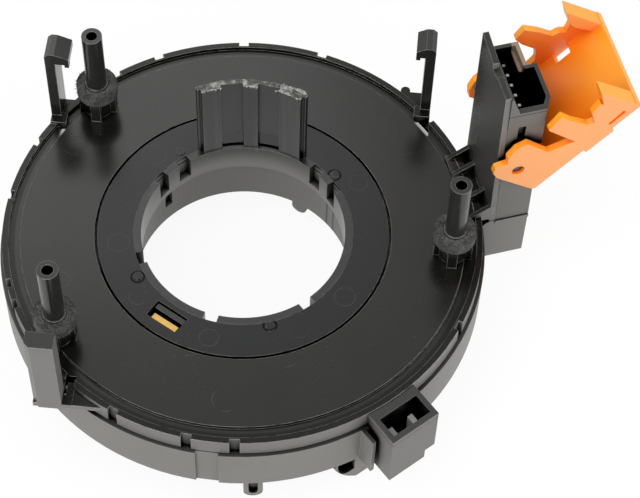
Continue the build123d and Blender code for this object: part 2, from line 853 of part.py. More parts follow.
# Two-pin connector on the drum's side
with BuildPart() as two_pin_connector:
    with BuildSketch(two_pin_frame):
        with Locations((two_pin_out, 0)):
            Rectangle(two_pin_out - skirt_inner, two_pin_width, align=(Align.MAX, Align.CENTER))
        Circle(skirt_outer + bay_gap, mode=Mode.SUBTRACT)
    extrude(amount=two_pin_top)
    with BuildSketch(two_pin_frame.offset(case_height)):
        Circle(rim_radius + bay_gap)
    extrude(amount=two_pin_top, mode=Mode.SUBTRACT)
    with BuildSketch(two_pin_frame.offset(two_pin_floor)):
        with Locations(((two_pin_socket_in + two_pin_socket_out) / 2, 0)):
            Rectangle(two_pin_socket_out - two_pin_socket_in, two_pin_socket_width)
    extrude(amount=two_pin_top, mode=Mode.SUBTRACT)
    with BuildSketch(two_pin_frame):
        with Locations((two_pin_out, two_pin_width / 2)):
            Rectangle(2 * (two_pin_out - two_pin_socket_in), 2 * two_pin_step)
    extrude(amount=two_pin_step_height, mode=Mode.SUBTRACT)
    # Pockets for the blades and their tails
    for side in (-1, 1):
        with BuildSketch(two_pin_frame.offset(blade_tail)):
            with Locations(((two_pin_socket_in + two_pin_socket_out) / 2, side * blade_spacing / 2)):
                Rectangle(blade_width + 0.1, blade_thickness + 0.1)
        extrude(amount=two_pin_floor, mode=Mode.SUBTRACT)
        with BuildSketch(two_pin_frame.offset(blade_tail)):
            with Locations((two_pin_socket_in, side * blade_spacing / 2)):
                Rectangle(2 * (two_pin_socket_in - skirt_inner), blade_thickness + 0.1)
        extrude(amount=0.9, mode=Mode.SUBTRACT)

with BuildPart() as two_pin_blades:
    for side in (-1, 1):
        with BuildSketch(two_pin_frame.offset(blade_tail)):
            with Locations(((two_pin_socket_in + two_pin_socket_out) / 2, side * blade_spacing / 2)):
                Rectangle(blade_width, blade_thickness)
        extrude(amount=blade_top - blade_tail)
        with BuildSketch(two_pin_frame.offset(blade_tail)):
            with Locations(((two_pin_socket_in + two_pin_socket_out) / 2, side * blade_spacing / 2)):
                Rectangle(blade_reach, blade_thickness, align=(Align.MAX, Align.CENTER))
        extrude(amount=0.8)

# Rotor hub: sleeve round the bore, carrying the half collar that cancels the indicator
with BuildPart() as rotor_hub:
    with BuildSketch(Plane.XY.offset(sleeve_low)):
        Circle(sleeve_outer)
        Circle(bore_radius, mode=Mode.SUBTRACT)
    extrude(amount=cover_top - sleeve_low)
    for span, inside in ((collar_span, collar_inner), (collar_fin_span, collar_outer - collar_fin_thickness)):
        with BuildSketch(mount_frame.offset(cover_top)):
            with BuildLine():
                CenterArc((0, 0), collar_outer, collar_centre - span / 2, span)
                CenterArc((0, 0), inside, collar_centre - span / 2, span)
                for end in (-1, 1):
                    end_angle = radians(collar_centre + end * span / 2)
                    Line(
                        (inside * cos(end_angle), inside * sin(end_angle)),
                        (collar_outer * cos(end_angle), collar_outer * sin(end_angle)),
                    )
            make_face()
        extrude(amount=collar_top - cover_top)
    groove_width = 2 * bore_radius * sin(radians(collar_groove_span / 2))
    for angle in collar_groove_angles:
        with BuildSketch(turned(mount_turn + angle).offset(cover_top)):
            with Locations((bore_radius, 0)):
                Rectangle(2 * collar_groove_depth, groove_width)
        extrude(amount=collar_top - cover_top, mode=Mode.SUBTRACT)
        with BuildSketch(turned(mount_turn + angle).offset(cover_top)):
            with Locations((collar_outer, 0)):
                Rectangle(2 * collar_wall, groove_width)
        extrude(amount=collar_window_height, mode=Mode.SUBTRACT)
    for angle in notch_angles:
        with BuildSketch(turned(angle).offset(cover_top - notch_height)):
            with Locations(((bore_radius + sleeve_outer) / 2, 0)):
                Rectangle(2 * sleeve_wall, notch_width)
        extrude(amount=notch_height, mode=Mode.SUBTRACT)

# Rotor ring: the dark ring between the sleeve and the cover, with the drum the ribbon winds on
with BuildPart() as rotor_ring:
    with BuildSketch(Plane.XZ):
        with BuildLine():
            Polyline(
                (sleeve_seat, ring_under),
                (ring_radius - drum_wall, ring_under),
                (ring_radius - drum_wall, chamber_floor),
                (ring_radius, chamber_floor),
                (ring_radius, cover_top),
                (sleeve_seat, cover_top),
                close=True,
            )
        make_face()
    revolve(axis=Axis.Z)
    with BuildSketch(window_frame.offset(ring_under)):
        with Locations((window_radius, 0)):
            Rectangle(window_width, window_length)
    extrude(amount=ring_thickness, mode=Mode.SUBTRACT)
    for angle in stud_angles:
        with BuildSketch(turned(angle).offset(cover_top)):
            with Locations((stud_place, 0)):
                Circle(stud_radius)
        extrude(amount=stud_height)

# Block under the ring's window, with a bar across it and a brass strip beside the bar
with BuildPart() as inner_lead_block:
    with BuildSketch(window_frame.offset(cover_top - block_depth)):
        with Locations((window_radius, 0)):
            Rectangle(window_width - 2 * block_clearance, window_length - 2 * block_clearance)
    extrude(amount=block_depth - ring_thickness)
    with BuildSketch(window_frame.offset(cover_top - ring_thickness)):
        with Locations((window_radius - window_width / 2 + block_clearance, 0)):
            Rectangle(bar_width, window_length - 2 * block_clearance, align=(Align.MIN, Align.CENTER))
    extrude(amount=ring_thickness - terminal_drop / 2)
    with BuildSketch(window_frame.offset(chamber_floor)):
        with Locations((window_radius, 0)):
            Rectangle(window_width - 2 * block_clearance, window_length / 2)
    extrude(amount=cover_top - block_depth - chamber_floor)

with BuildPart() as inner_terminal:
    with BuildSketch(window_frame.offset(cover_top - ring_thickness)):
        with Locations((window_radius + window_width / 2 - block_clearance, 0)):
            Rectangle(terminal_width, window_length - 1.6, align=(Align.MAX, Align.CENTER))
    extrude(amount=terminal_thickness)

# Rotor front: the disc that the steering wheel turns
with BuildPart() as rotor_front:
    with BuildSketch(Plane.XZ):
        with BuildLine():
            Polyline(
                (boss_bore, -boss_depth),
                (sleeve_seat + boss_wall, -boss_depth),
                (sleeve_seat + boss_wall, 0),
                (disc_radius, 0),
                (disc_radius, flange_low),
                (flange_radius, flange_low),
                (flange_radius, chamber_floor),
                (sleeve_seat + inner_wall, chamber_floor),
                (sleeve_seat + inner_wall, ring_under - inner_wall_gap),
                (sleeve_seat, ring_under - inner_wall_gap),
                (sleeve_seat, sleeve_low),
                (boss_bore, sleeve_low),
                close=True,
            )
        make_face()
    revolve(axis=Axis.Z)
    with BuildSketch(Plane.XY):
        with PolarLocations(sleeve_seat + boss_wall, boss_rib_count, 15):
            Rectangle(2 * boss_rib_reach, boss_rib_thickness)
        Circle(sleeve_seat + boss_wall / 2, mode=Mode.SUBTRACT)
    extrude(amount=-boss_rib_lift)
    # Slots in the inner wall, and a rounded lug under the boss
    for angle in inner_slot_angles:
        with BuildSketch(turned(angle).offset(inner_slot_low)):
            with Locations((sleeve_seat, 0)):
                Rectangle(2 * sleeve_wall, inner_slot_width)
        extrude(amount=inner_slot_high - inner_slot_low, mode=Mode.SUBTRACT)
    with BuildSketch(facing_x(turned(boss_lug_angle), boss_bore)):
        with Locations((0, -boss_depth)):
            SlotOverall(2 * boss_lug_drop + boss_lug_width / 2, boss_lug_width, rotation=90)
    extrude(amount=boss_wall - boss_relief)
    with BuildSketch(Plane.XY):
        with Locations((wheel_socket_place, 0), (-wheel_socket_place, 0)):
            Circle(drive_peg_radius)
    extrude(amount=-drive_peg_depth)
    # Holes for the pins of the two sockets
    for socket_y, count in ((wheel_socket_place, wheel_pin_count), (-wheel_socket_place, squib_pin_count)):
        with BuildSketch(Plane.XY):
            with Locations((0, socket_y)):
                with GridLocations(wheel_pin_pitch, 1, count, 1):
                    Rectangle(pin_size + 2 * pin_clearance, pin_size + 2 * pin_clearance)
        extrude(amount=chamber_floor, mode=Mode.SUBTRACT)


def wheel_socket(place_y, length, count):
    """A socket standing on the disc, open towards the wheel, with holes for its pins."""
    with BuildPart() as socket:
        with BuildSketch(Plane.XY):
            with Locations((0, place_y)):
                Rectangle(length, wheel_socket_width)
        extrude(amount=-wheel_socket_depth)
        with BuildSketch(Plane.XY.offset(-wheel_floor)):
            with Locations((0, place_y)):
                Rectangle(length - 2 * wheel_wall, wheel_socket_width - 2 * wheel_wall)
        extrude(amount=-wheel_socket_depth, mode=Mode.SUBTRACT)
        with BuildSketch(Plane.XY):
            with Locations((0, place_y)):
                with GridLocations(wheel_pin_pitch, 1, count, 1):
                    Rectangle(pin_size + 2 * pin_clearance, pin_size + 2 * pin_clearance)
        extrude(amount=-wheel_floor, mode=Mode.SUBTRACT)
    return socket


def wheel_pins_of(place_y, count):
    """Straight pins from the chamber's floor down into a wheel-side socket."""
    with BuildPart() as pins:
        with BuildSketch(Plane.XY.offset(chamber_floor)):
            with Locations((0, place_y)):
                with GridLocations(wheel_pin_pitch, 1, count, 1):
                    Rectangle(pin_size, pin_size)
        extrude(amount=-chamber_floor - wheel_pin_tip)
    return pins


wheel_connector = wheel_socket(wheel_socket_place, wheel_socket_length, wheel_pin_count)
wheel_pins = wheel_pins_of(wheel_socket_place, wheel_pin_count)
squib_connector = wheel_socket(-wheel_socket_place, squib_socket_length, squib_pin_count)
squib_pins = wheel_pins_of(-wheel_socket_place, squib_pin_count)

# Flat ribbon, wound as half circles whose centres change sides
ribbon_inner = ring_radius + block_clearance + ribbon_thickness / 2
ribbon_outer = skirt_inner - ribbon_thickness / 2
ribbon_step = (ribbon_outer - ribbon_inner) / (2 * ribbon_turns)
with BuildPart() as flat_cable:
    with BuildSketch(Plane.XY.offset(chamber_floor + sheet_thickness + ribbon_margin)):
        with BuildLine():
            for half in range(2 * ribbon_turns):
                side = 1 if half % 2 else -1
                CenterArc(
                    (side * ribbon_step / 2, 0),
                    ribbon_inner + ribbon_step / 2 + half * ribbon_step,
                    180 * (half % 2),
                    180,
                )
        trace(line_width=ribbon_thickness)
    extrude(amount=plate_under - chamber_floor - 2 * sheet_thickness - 2 * ribbon_margin)

# Slip sheets above and below the ribbon
with BuildPart() as lower_slip_sheet:
    with BuildSketch(Plane.XY.offset(chamber_floor)):
        Circle(flange_radius)
        Circle(ring_radius + seat_clearance, mode=Mode.SUBTRACT)
    extrude(amount=sheet_thickness)

with BuildPart() as upper_slip_sheet:
    with BuildSketch(Plane.XY.offset(plate_under)):
        Circle(skirt_inner - seat_clearance)
        Circle(cover_hole_radius, mode=Mode.SUBTRACT)
    extrude(amount=-sheet_thickness)

pieces = {
    "outer_case": outer_case,
    "back_cover": back_cover,
    "post_washer_1": washers[0],
    "post_washer_2": washers[1],
    "post_washer_3": washers[2],
    "connector_housing": connector_housing,
    "main_pins": main_pins,
    "outer_lead_block": outer_lead_block,
    "lock_lever": lock_lever,
    "two_pin_connector": two_pin_connector,
    "two_pin_blades": two_pin_blades,
    "rotor_hub": rotor_hub,
    "rotor_ring": rotor_ring,
    "inner_lead_block": inner_lead_block,
    "inner_terminal": inner_terminal,
    "rotor_front": rotor_front,
    "wheel_connector": wheel_connector,
    "wheel_pins": wheel_pins,
    "squib_connector": squib_connector,
    "squib_pins": squib_pins,
    "flat_cable": flat_cable,
    "lower_slip_sheet": lower_slip_sheet,
    "upper_slip_sheet": upper_slip_sheet,
}

os.makedirs("parts", exist_ok=True)
for name, piece in pieces.items():
    piece.part.label = name
    export_step(piece.part, f"parts/{name}.step")
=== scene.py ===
import bpy
from math import cos, radians, sin
from mathutils import Matrix, Vector


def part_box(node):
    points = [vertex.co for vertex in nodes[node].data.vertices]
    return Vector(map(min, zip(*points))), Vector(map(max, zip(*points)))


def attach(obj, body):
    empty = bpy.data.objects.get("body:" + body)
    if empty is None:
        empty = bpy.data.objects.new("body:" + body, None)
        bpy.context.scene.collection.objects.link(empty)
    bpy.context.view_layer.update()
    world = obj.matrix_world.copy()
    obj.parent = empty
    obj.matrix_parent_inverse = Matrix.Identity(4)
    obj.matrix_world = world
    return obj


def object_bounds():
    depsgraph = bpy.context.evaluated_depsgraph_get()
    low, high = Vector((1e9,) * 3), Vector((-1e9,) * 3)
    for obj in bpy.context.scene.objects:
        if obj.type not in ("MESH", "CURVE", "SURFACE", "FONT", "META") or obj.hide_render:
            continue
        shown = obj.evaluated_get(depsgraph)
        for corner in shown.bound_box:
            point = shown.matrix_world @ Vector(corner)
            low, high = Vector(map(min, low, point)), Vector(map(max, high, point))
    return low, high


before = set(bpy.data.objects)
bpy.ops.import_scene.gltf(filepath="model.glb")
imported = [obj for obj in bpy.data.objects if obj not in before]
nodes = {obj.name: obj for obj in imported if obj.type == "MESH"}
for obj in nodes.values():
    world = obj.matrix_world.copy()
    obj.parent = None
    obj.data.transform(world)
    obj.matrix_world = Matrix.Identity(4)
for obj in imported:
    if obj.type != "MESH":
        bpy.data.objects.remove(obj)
cad_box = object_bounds()

# Back cover: the plate with its rim, ears, hooks, posts, pillar and tower wall, one moulding. It
# is polished, with faint ejector rings and edges painted grey, partly wear and partly painted
# highlight. The upright outer faces of its front half, and a little all above the plate, are
# painted pale and matt as painted light; its recesses and the rim's top are painted dark as
# painted shade.


class Value:
    """A node's output. Arithmetic on it adds Math nodes to the tree that it comes from."""

    def __init__(self, workings, socket):
        self.workings = workings
        self.socket = socket

    def math(self, operation, first, second=0.0):
        return self.workings.node("ShaderNodeMath", {"operation": operation},
                                  {"Value": first, "Value_001": second})

    def __add__(self, other):
        return self.math("ADD", self, other)

    def __radd__(self, other):
        return self.math("ADD", other, self)

    def __sub__(self, other):
        return self.math("SUBTRACT", self, other)

    def __rsub__(self, other):
        return self.math("SUBTRACT", other, self)

    def __mul__(self, other):
        return self.math("MULTIPLY", self, other)

    def __rmul__(self, other):
        return self.math("MULTIPLY", other, self)

    def at_most(self, other):
        return self.math("MINIMUM", self, other)

    def at_least(self, other):
        return self.math("MAXIMUM", self, other)

    def size(self):
        return self.math("ABSOLUTE", self)


class Workings:
    """The node tree of a finish, of the room or of small bits that follow a piece's edges."""

    def __init__(self, tree):
        self.tree = tree

    def node(self, kind, settings=(), sockets=(), output=0):
        made = self.tree.nodes.new(kind)
        for name, setting in dict(settings).items():
            if name == "stops":
                ramp = made.color_ramp
                for stop, (position, color) in enumerate(setting):
                    if stop > 1:
                        ramp.elements.new(position)
                    ramp.elements[stop].position = position
                    ramp.elements[stop].color = (*color, 1)
            else:
                setattr(made, name, setting)
        for name, value in dict(sockets).items():
            socket = next(s for s in made.inputs if name in (s.identifier, s.name))
            if isinstance(value, Value):
                self.tree.links.new(value.socket, socket)
            else:
                socket.default_value = value
        for index, socket in enumerate(made.outputs):
            if output in (index, socket.identifier, socket.name):
                return Value(self, socket)


class Finish(Workings):
    """A surface finish: a shader and the nodes that vary it over the piece."""

    def __init__(self, name, color, roughness, ior=1.5):
        self.material = bpy.data.materials.new(name)
        self.material.use_nodes = True
        super().__init__(self.material.node_tree)
        self.shader = self.tree.nodes["Principled BSDF"]
        self.shader.inputs["Base Color"].default_value = (*color, 1)
        self.shader.inputs["Roughness"].default_value = roughness
        self.shader.inputs["IOR"].default_value = ior
        self.place = self.node("ShaderNodeTexCoord", output="Object")

    def noise(self, scale, detail=3.0, roughness=0.55, place=None):
        sockets = {"Vector": place or self.place, "Scale": scale, "Detail": detail, "Roughness": roughness}
        return self.node("ShaderNodeTexNoise", (), sockets, "Fac")

    def stretch(self, low, high, value):
        """0 up to low, 1 from high on, smooth between."""
        sockets = {"Value": value, "From Min": low, "From Max": high}
        return self.node("ShaderNodeMapRange", {"interpolation_type": "SMOOTHSTEP", "clamp": True}, sockets)

    def blend(self, share, first, second):
        """The first colour turning to the second with the share."""
        sides = {side: color if isinstance(color, Value) else (*color, 1)
                 for side, color in (("A_Color", first), ("B_Color", second))}
        return self.node("ShaderNodeMix", {"data_type": "RGBA"},
                         {"Factor_Float": share, **sides}, "Result_Color")

    def scaled(self, x, y, z):
        """The place on the piece, drawn out along each axis."""
        return self.node("ShaderNodeVectorMath", {"operation": "MULTIPLY"},
                         {"Vector": self.place, "Vector_001": (x, y, z)})

    def along(self, axis):
        """The place on the piece along the X, Y or Z axis, in metres."""
        return self.node("ShaderNodeSeparateXYZ", (), {"Vector": self.place}, axis)

    def facing(self, axis):
        """How far the surface faces along the X, Y or Z axis, from -1 to 1."""
        flat = self.node("ShaderNodeNewGeometry", output="Normal")
        return self.node("ShaderNodeSeparateXYZ", (), {"Vector": flat}, axis)

    def within(self, limits):
        """1 inside soft limits, each an axis and the places on it where 0 ends and 1 begins."""
        share = 1.0
        for axis, none_at, all_at in limits:
            share = self.stretch(none_at, all_at, self.along(axis)) * share
        return share

    def distance(self, x, y):
        """Distance from a point of the plate, seen from above, in metres."""
        apart = self.node("ShaderNodeVectorMath", {"operation": "MULTIPLY_ADD"},
                          {"Vector": self.place, "Vector_001": (1, 1, 0), "Vector_002": (-x, -y, 0)})
        return self.node("ShaderNodeVectorMath", {"operation": "LENGTH"}, {"Vector": apart}, "Value")

    def rings(self, circles, width):
        """1 on thin circles (x, y and radius in millimetres), 0 away from them."""
        drawn = 0.0
        for x, y, radius in circles:
            off = self.distance(x / 1000, y / 1000) - radius / 1000
            drawn = self.stretch(width, 0.0, off.size()) + drawn
        return drawn.at_most(1.0)

    def edges(self, radius):
        """1 along the piece's outer and inner corners. The eased normal also feeds the shader."""
        self.eased = self.node("ShaderNodeBevel", {"samples": 6}, {"Radius": radius})
        flat = self.node("ShaderNodeNewGeometry", output="Normal")
        agree = self.node("ShaderNodeVectorMath", {"operation": "DOT_PRODUCT"},
                          {"Vector": flat, "Vector_001": self.eased}, "Value")
        return self.stretch(0.995, 0.93, agree)

    def open_to_light(self, reach):
        """1 on open faces, less in corners and recesses within this reach."""
        return self.node("ShaderNodeAmbientOcclusion", {"samples": 8}, {"Distance": reach}, "AO")

    def set(self, **links):
        for name, value in links.items():
            self.tree.links.new(value.socket, self.shader.inputs[name.replace("_", " ")])

    def emboss(self, height, strength, distance):
        """Feeds a height into the normal, over the eased one where the finish has it."""
        sockets = {"Height": height, "Strength": strength, "Distance": distance}
        if hasattr(self, "eased"):
            sockets["Normal"] = self.eased
        self.set(Normal=self.node("ShaderNodeBump", (), sockets))


def dress(name, finish):
    """Gives a CAD node its finish."""
    mesh = nodes[name].data
    mesh.materials.clear()
    mesh.materials.append(finish.material)
    mesh.shade_flat()


class MouldedBlack(Finish):
    """Black moulded plastic: a polished tone and a pale matt tone, the pale one painted light, dust in
    its grain, edges painted grey as wear and painted highlight. In closed recesses it is painted
    black and metallic as painted shade, which takes the reflection away and keeps them dark."""

    def __init__(self, name, polished, lit_matt, gloss, matt_gloss, ior=1.5, edge_radius=0.0002,
                 recess=(0.007, 0.6, 0.24)):
        super().__init__(name, polished, gloss, ior)
        reach, open_from, closed_to = recess
        self.tones = (polished, lit_matt)
        self.glosses = (gloss, matt_gloss)
        self.cloud = self.noise(70, 4)
        self.specks = (self.stretch(0.64, 0.76, self.noise(2300, 2, 0.7))
                       * self.stretch(0.4, 0.62, self.cloud))
        self.streaks = self.stretch(0.68, 0.74, self.noise(160, 4, 0.6, self.scaled(1.0, 7.0, 1.0)))
        # Edges painted grey, partly as wear and partly as a painted highlight.
        self.edge_wear_and_highlight = self.edges(edge_radius) * self.stretch(0.28, 0.52, self.noise(500, 3, 0.6))
        self.grain = self.noise(1500, 3)
        # Painted shade: how closed each recess is, for painting it black.
        self.recess_shade = self.stretch(open_from, closed_to, self.open_to_light(reach))

    def spread(self, lit_matt_share, edge_tone=(0.2, 0.2, 0.185), marks=None):
        """Lays the tones over the piece; the share is 1 where it is matt and painted pale as painted light.
        """
        polished, lit_matt = self.tones
        gloss, matt_gloss = self.glosses
        # The pale matt tone laid here is painted light.
        tone = self.blend(lit_matt_share * (0.75 + self.cloud * 0.5), polished, lit_matt)
        tone = self.blend(self.specks * 0.4, tone, (0.12, 0.12, 0.11))
        tone = self.blend(self.streaks * 0.2, tone, (0.07, 0.07, 0.066))
        # Edges painted grey, partly wear and partly painted highlight.
        tone = self.blend(self.edge_wear_and_highlight * 0.6, tone, edge_tone)
        if marks:
            tone = self.blend(marks * 0.4, tone, (0.07, 0.07, 0.067))
        # Painted shade: closed recesses turn black.
        self.tone = self.blend(self.recess_shade, tone, (0.0, 0.0, 0.0))
        self.roughness = (gloss + lit_matt_share * (matt_gloss - gloss) + self.cloud * 0.1
                          + self.specks * 0.2 + self.streaks * 0.06)
        self.set(Base_Color=self.tone, Roughness=self.roughness, Metallic=self.recess_shade)
        relief = self.grain * (0.1 + lit_matt_share * 0.6) + (marks * 0.8 if marks else 0.0)
        self.emboss(relief, 0.25, 0.00005)


plate_pin_circles = ((-41.4, -2.9, 1.9), (-31.5, 32.0, 2.6), (-13.9, -40.6, 2.8), (38.6, 24.9, 2.6))
outer_faces_from = 0.0518
rim_from = 0.0503
# Grey of the edges: partly wear, partly painted highlight.
edge_wear_and_highlight_grey = (0.34, 0.34, 0.32)
cover_black = MouldedBlack("cover_black", (0.005, 0.005, 0.0038), (0.125, 0.122, 0.115), 0.16, 0.4, 1.44)
from_axis = cover_black.distance(0, 0)
upright = cover_black.stretch(0.8, 0.4, cover_black.facing("Z").size())
outermost = cover_black.stretch(outer_faces_from, outer_faces_from + 0.0008, from_axis)
front_faced = (cover_black.stretch(0.25, -0.35, cover_black.facing("Y"))
               * cover_black.within([("Y", 0.01, 0.0)]))
above_plate = cover_black.within([("Z", 0.0205, 0.0225)])
pin_rings = (cover_black.rings(plate_pin_circles, 0.00013)
             * cover_black.stretch(0.4, 0.55, cover_black.noise(140)))
# Painted light: upright outer faces of the front half pale, and all above the plate a little paler.
painted_light_pale = (upright * outermost * front_faced).at_least(above_plate * 0.09)
cover_black.spread(painted_light_pale, edge_wear_and_highlight_grey, pin_rings)
# Painted shade: the rim's top loses part of its reflection and shows darker.
rim_top_shade = (cover_black.stretch(rim_from, rim_from + 0.0004, from_axis)
           * (1.0 - above_plate) * (1.0 - upright))
cover_black.set(Metallic=cover_black.recess_shade.at_least(rim_top_shade * 0.4))
dress("back_cover", cover_black)

# Tongue beside the pillar: part of the cover's moulding, level with the ear. It fills the outer
# end of the slot that lets the pillar spring, and leaves a short slit along the pillar's side.
# The outline is in millimetres, in the frame of the posts.
tongue_outline = (
    (-33.3, -47.1), (-31.15, -47.1), (-31.15, -41.6),
    (-32.7, -41.6), (-32.7, -44.6), (-33.3, -44.6),
)
tongue_levels = (0.01480, 0.01615)
posts_turn = -20
turned = Matrix.Rotation(radians(posts_turn), 3, "Z")
tongue_points = [turned @ Vector((x / 1000, y / 1000, level))
                 for level in tongue_levels for x, y in tongue_outline]
corner_count = len(tongue_outline)
tongue_faces = [list(range(corner_count))[::-1], list(range(corner_count, 2 * corner_count))]
for corner in range(corner_count):
    after = (corner + 1) % corner_count
    tongue_faces.append((corner, after, after + corner_count, corner + corner_count))
tongue_mesh = bpy.data.meshes.new("pillar_tongue")
tongue_mesh.from_pydata(tongue_points, [], tongue_faces)
tongue_mesh.materials.append(cover_black.material)
tongue = bpy.data.objects.new("pillar_tongue", tongue_mesh)
bpy.context.scene.collection.objects.link(tongue)
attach(tongue, "stator")

# Outer case: the drum's wall and wheel-side ring, with the tower's lower box, a peg and a lug.
# Black moulded plastic with the mould's fine grain, duller than the cover. Its upright faces are
# painted pale grey as painted light, and its edges grey, partly wear and partly painted highlight.
case_black = MouldedBlack("case_black", (0.02, 0.02, 0.018), (0.125, 0.122, 0.113), 0.3, 0.42, 1.55)
# Painted light: upright faces painted pale, edges grey as wear and painted highlight.
case_black.spread(case_black.stretch(0.9, 0.5, case_black.facing("Z").size()), (0.24, 0.24, 0.225))
dress("outer_case", case_black)

# Main housing, two-pin connector, wheel-side sockets and lead blocks: black plastic, satin, with
# a parting line under each rim. Upright faces, most of all those towards the front, are painted
# paler as painted light, the socket insides black as painted shade, and a step in the main socket
# brown as painted light from the lever beside it. To match the photo, faces towards the front are
# painted paler, and a step in the main socket brown, which is probably light from the lever
# beside it.


def housing_finish(name, line_level):
    """Satin housing plastic with a thin parting line at a level, broken here and there."""
    finish = MouldedBlack(name, (0.016, 0.016, 0.014), (0.105, 0.1, 0.093), 0.3, 0.42, 1.47, 0.00015,
                          (0.014, 0.72, 0.4))
    # Painted light: upright faces painted paler, most of all those towards the front.
    front_light_share = finish.stretch(0.3, -0.2, finish.facing("X") * 0.6 + finish.facing("Y"))
    lit_matt = finish.stretch(0.9, 0.5, finish.facing("Z").size()) * (0.45 + front_light_share * 0.55)
    finish.spread(lit_matt, (0.22, 0.22, 0.205))
    line = (finish.stretch(0.00018, 0.00008, (finish.along("Z") - line_level).size())
            * finish.stretch(0.3, 0.42, finish.noise(330, 2)))
    finish.tone = finish.blend(line, finish.tone, (0.004, 0.004, 0.004))
    finish.set(Base_Color=finish.tone)
    return finish


rim_to_line = 0.0014
tower_line_level = 0.0513
step_limits = (("X", 0.0619, 0.0621), ("X", 0.0646, 0.0644), ("Y", 0.0036, 0.004), ("Z", 0.0496, 0.0499))
step_lever_light = (0.26, 0.19, 0.135)
socket_black = housing_finish("socket_black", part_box("two_pin_connector")[1][2] - rim_to_line)
tower_black = housing_finish("tower_black", tower_line_level)
# Painted light: a step in the main socket painted brown as the lever's light falling on it.
lit_step = tower_black.within(step_limits)
tower_black.set(Base_Color=tower_black.blend(lit_step, tower_black.tone, step_lever_light),
                Metallic=tower_black.recess_shade * (1.0 - lit_step))
dress("connector_housing", tower_black)
for housing in ("two_pin_connector", "wheel_connector", "squib_connector",
                "outer_lead_block", "inner_lead_block"):
    dress(housing, socket_black)

# Rotor: the dark ring flush with the plate and the wheel-side disc, moulded in acetal. The ring
# shows its ejector pins as faint circles and has small round studs in sunk rings, painted black
# as painted shade. The ring's wall below its top is painted pale as painted light.
ring_pin_circles = (
    (-14.6, 24.9, 2.7), (-27.4, 3.5, 2.4), (-26.2, -11.2, 2.0), (-13.7, -25.0, 2.1),
    (5.7, -27.8, 2.1), (17.3, -22.2, 2.3), (28.2, 6.2, 2.1),
)
stud_places = ((23.5, 9.6), (-25.2, -6.2), (-0.3, -25.2))
sunk_ring_radius = 1.4
ring_black = MouldedBlack("ring_black", (0.005, 0.0053, 0.006), (0.15, 0.147, 0.138), 0.2, 0.36, 1.39)
circles = (ring_black.rings(ring_pin_circles, 0.00012)
           * ring_black.stretch(0.38, 0.5, ring_black.noise(150)))
# Painted light: the wall below the ring's top painted pale.
lower_wall_lit = ring_black.within([("Z", 0.0165, 0.0155)])
ring_black.spread(lower_wall_lit, marks=circles)
# Painted shade: the sunk rings round the studs painted black, without reflection.
sunk_ring_shade = ring_black.rings([(x, y, sunk_ring_radius) for x, y in stud_places], 0.00042)
ring_black.set(Base_Color=ring_black.blend(sunk_ring_shade * 0.9, ring_black.tone, (0.0, 0.0, 0.0)),
               Metallic=ring_black.recess_shade.at_least(sunk_ring_shade * 0.8))
dress("rotor_ring", ring_black)
dress("rotor_front", ring_black)

# Rotor hub: the sleeve round the bore and the half collar that cancels the indicator, in acetal.
# The collar's top is torn and frosted, with burrs left standing, as if cut back by hand. The
# foot of its grooves is painted black as painted shade. The sleeve's lower part is painted pale
# as painted light, and pale upright streaks over the hub are painted reflections.
collar_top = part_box("rotor_hub")[1][2]
collar_inner = 0.0229
collar_outer = 0.0249
collar_from = 42.8
collar_to = 98.8
groove_foot_shade_from = 0.0232
groove_foot_shade_limits = (("X", -0.004, -0.0036), ("Y", 0.0155, 0.0163),
                      ("Z", 0.0202, 0.0192), ("Z", 0.0166, 0.017))
hub_black = MouldedBlack("hub_black", (0.009, 0.009, 0.0084), (0.15, 0.147, 0.138), 0.24, 0.34, 1.5)
# Painted light: the sleeve's lower part painted pale, with pale upright streaks as painted reflections.
painted_reflection_streaks = hub_black.stretch(0.5, 0.8, hub_black.noise(260, 3, 0.6, hub_black.scaled(1.0, 1.0, 0.06)))
hub_black.spread(hub_black.within([("Z", 0.0172, 0.0098)]).at_least(painted_reflection_streaks * 0.24))
# Painted shade: the foot of the collar's grooves painted black.
groove_foot_shade = (hub_black.within(groove_foot_shade_limits)
               * hub_black.stretch(groove_foot_shade_from, groove_foot_shade_from + 0.0004, hub_black.distance(0, 0)))
torn = hub_black.noise(800, 5, 0.72)
torn_height = hub_black.along("Z") + torn * 0.0012
frost = (hub_black.stretch(collar_top + 0.0003, collar_top + 0.00074, torn_height)
         * hub_black.stretch(0.48, 0.68, torn * 0.7 + hub_black.noise(230, 2) * 0.4))
groove_shaded = hub_black.blend(groove_foot_shade, hub_black.tone, (0.0, 0.0, 0.0))
hub_black.set(Base_Color=hub_black.blend(frost, groove_shaded, (0.36, 0.36, 0.33)),
              Roughness=hub_black.roughness + frost * 0.35, Metallic=hub_black.recess_shade.at_least(groove_foot_shade))
hub_black.emboss(hub_black.grain * 0.3 + torn * frost * 4, 0.5, 0.0001)
dress("rotor_hub", hub_black)


